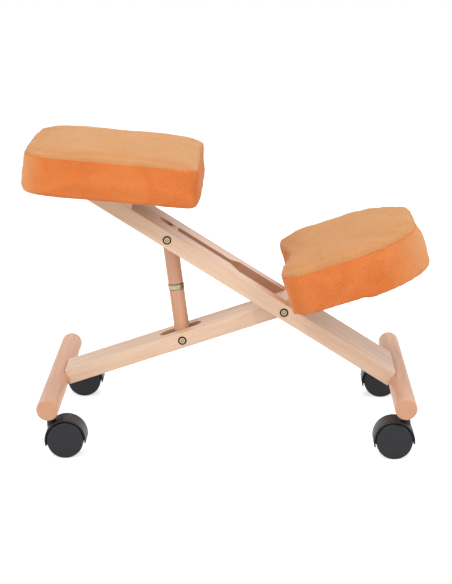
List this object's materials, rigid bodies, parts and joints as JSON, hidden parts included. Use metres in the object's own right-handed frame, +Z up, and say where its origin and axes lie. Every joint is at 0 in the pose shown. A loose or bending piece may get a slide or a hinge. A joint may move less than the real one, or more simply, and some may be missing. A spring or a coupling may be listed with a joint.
{
  "type": "kneeling chair",
  "caption": "Wooden kneeling chair on casters: crossed pale beams, orange plush seat and knee pad, and a strut with a turning ring that sets the height.",
  "frame": {"origin": "on the floor, midway between the two crossbars", "axes": "+X from the seat towards the knee pad, +Y across the chair, +Z up"},
  "size_m": [0.6731, 0.45, 0.5009],
  "materials": {
    "beech": "satin varnish",
    "plywood": "raw",
    "plush": "short pile",
    "foam": "open cell foam",
    "steel": "zinc plated",
    "brass": "brushed",
    "caster_plastic": "satin moulded",
    "black_washer": "matte"
  },
  "bodies": {
    "base": {"knee_beam": "beech", "rear_crossbar": "beech", "rear_crossbar_bolts": "steel", "rear_barrel_nuts": "steel", "rear_caster_sockets": "caster_plastic", "pivot_bush": "black_washer", "pivot_washers": "black_washer", "lower_strut_bolt": "steel", "lower_strut_sleeve_nut": "steel", "knee_board": "plywood", "knee_foam": "foam", "knee_cover": "plush", "knee_bolts": "steel", "knee_tee_nuts": "steel"},
    "seat_arm": {"seat_beam": "beech", "seat_wedge_block": "beech", "front_crossbar": "beech", "front_crossbar_bolts": "steel", "front_barrel_nuts": "steel", "front_caster_sockets": "caster_plastic", "pivot_bolt": "steel", "pivot_sleeve_nut": "steel", "upper_strut_bolt": "steel", "upper_strut_sleeve_nut": "steel", "seat_board": "plywood", "seat_foam": "foam", "seat_cover": "plush", "seat_bolts": "steel", "seat_tee_nuts": "steel"},
    "strut_upper": {"strut_upper_dowel": "beech", "strut_upper_insert": "brass"},
    "strut_lower": {"strut_lower_dowel": "beech", "strut_lower_insert": "brass"},
    "adjuster_carrier": {"adjuster_washers": "black_washer"},
    "adjuster": {"adjuster_screw": "steel", "adjuster_ring": "brass"},
    "front_near_caster": {"front_near_caster_hood": "caster_plastic", "front_near_caster_stem": "steel", "front_near_caster_axle": "steel"},
    "front_near_caster_near_wheel": {"front_near_caster_near_wheel": "caster_plastic"},
    "front_near_caster_far_wheel": {"front_near_caster_far_wheel": "caster_plastic"},
    "front_far_caster": {"front_far_caster_hood": "caster_plastic", "front_far_caster_stem": "steel", "front_far_caster_axle": "steel"},
    "front_far_caster_near_wheel": {"front_far_caster_near_wheel": "caster_plastic"},
    "front_far_caster_far_wheel": {"front_far_caster_far_wheel": "caster_plastic"},
    "rear_near_caster": {"rear_near_caster_hood": "caster_plastic", "rear_near_caster_stem": "steel", "rear_near_caster_axle": "steel"},
    "rear_near_caster_near_wheel": {"rear_near_caster_near_wheel": "caster_plastic"},
    "rear_near_caster_far_wheel": {"rear_near_caster_far_wheel": "caster_plastic"},
    "rear_far_caster": {"rear_far_caster_hood": "caster_plastic", "rear_far_caster_stem": "steel", "rear_far_caster_axle": "steel"},
    "rear_far_caster_near_wheel": {"rear_far_caster_near_wheel": "caster_plastic"},
    "rear_far_caster_far_wheel": {"rear_far_caster_far_wheel": "caster_plastic"}
  },
  "joints": [
    {"name": "frame_fold", "type": "hinge", "parent": "base", "child": "seat_arm", "pos_m": [0.09459, 0, 0.21304], "axis": [0, 1, 0], "range_deg": [0, 12]},
    {"name": "strut_top_turn", "type": "hinge", "parent": "seat_arm", "child": "strut_upper", "pos_m": [-0.10173, 0, 0.33667], "axis": [0, 1, 0], "range_deg": [-5, 1]},
    {"name": "strut_foot_turn", "type": "hinge", "parent": "base", "child": "strut_lower", "pos_m": [-0.07821, 0, 0.1559], "axis": [0, 1, 0], "range_deg": [-1, 12]},
    {"name": "adjuster_travel", "type": "slide", "parent": "strut_lower", "child": "adjuster_carrier", "axis": [-0.129, 0, 0.9916], "range_m": [-0.002, 0.025]},
    {"name": "adjuster_turn", "type": "hinge", "parent": "adjuster_carrier", "child": "adjuster", "pos_m": [-0.08956, 0, 0.24316], "axis": [-0.129, 0, 0.9916], "continuous": true},
    {"name": "front_near_caster_swivel", "type": "hinge", "parent": "seat_arm", "child": "front_near_caster", "pos_m": [0.2915, -0.187, 0.08904], "axis": [-0.0837, 0, 0.9965], "continuous": true},
    {"name": "front_near_caster_near_wheel_roll", "type": "hinge", "parent": "front_near_caster", "child": "front_near_caster_near_wheel", "pos_m": [0.27438, -0.187, 0.03], "axis": [0, 1, 0], "continuous": true},
    {"name": "front_near_caster_far_wheel_roll", "type": "hinge", "parent": "front_near_caster", "child": "front_near_caster_far_wheel", "pos_m": [0.27438, -0.187, 0.03], "axis": [0, 1, 0], "continuous": true},
    {"name": "front_far_caster_swivel", "type": "hinge", "parent": "seat_arm", "child": "front_far_caster", "pos_m": [0.2915, 0.187, 0.08904], "axis": [-0.0837, 0, 0.9965], "continuous": true},
    {"name": "front_far_caster_near_wheel_roll", "type": "hinge", "parent": "front_far_caster", "child": "front_far_caster_near_wheel", "pos_m": [0.27438, 0.187, 0.03], "axis": [0, 1, 0], "continuous": true},
    {"name": "front_far_caster_far_wheel_roll", "type": "hinge", "parent": "front_far_caster", "child": "front_far_caster_far_wheel", "pos_m": [0.27438, 0.187, 0.03], "axis": [0, 1, 0], "continuous": true},
    {"name": "rear_near_caster_swivel", "type": "hinge", "parent": "base", "child": "rear_near_caster", "pos_m": [-0.2915, -0.187, 0.08536], "axis": [-0.0837, 0, 0.9965], "continuous": true},
    {"name": "rear_near_caster_near_wheel_roll", "type": "hinge", "parent": "rear_near_caster", "child": "rear_near_caster_near_wheel", "pos_m": [-0.26477, -0.187, 0.03], "axis": [0, 1, 0], "continuous": true},
    {"name": "rear_near_caster_far_wheel_roll", "type": "hinge", "parent": "rear_near_caster", "child": "rear_near_caster_far_wheel", "pos_m": [-0.26477, -0.187, 0.03], "axis": [0, 1, 0], "continuous": true},
    {"name": "rear_far_caster_swivel", "type": "hinge", "parent": "base", "child": "rear_far_caster", "pos_m": [-0.2915, 0.187, 0.08536], "axis": [-0.0837, 0, 0.9965], "continuous": true},
    {"name": "rear_far_caster_near_wheel_roll", "type": "hinge", "parent": "rear_far_caster", "child": "rear_far_caster_near_wheel", "pos_m": [-0.26477, 0.187, 0.03], "axis": [0, 1, 0], "continuous": true},
    {"name": "rear_far_caster_far_wheel_roll", "type": "hinge", "parent": "rear_far_caster", "child": "rear_far_caster_far_wheel", "pos_m": [-0.26477, 0.187, 0.03], "axis": [0, 1, 0], "continuous": true}
  ],
  "couplings": [
    {"joint": "strut_top_turn", "follows": "frame_fold", "ratio": -0.24108},
    {"joint": "strut_foot_turn", "follows": "frame_fold", "ratio": 0.75892},
    {"joint": "adjuster_travel", "follows": "frame_fold", "m_per_rad": 0.087583},
    {"joint": "adjuster_turn", "follows": "frame_fold", "ratio": 110.06}
  ]
}
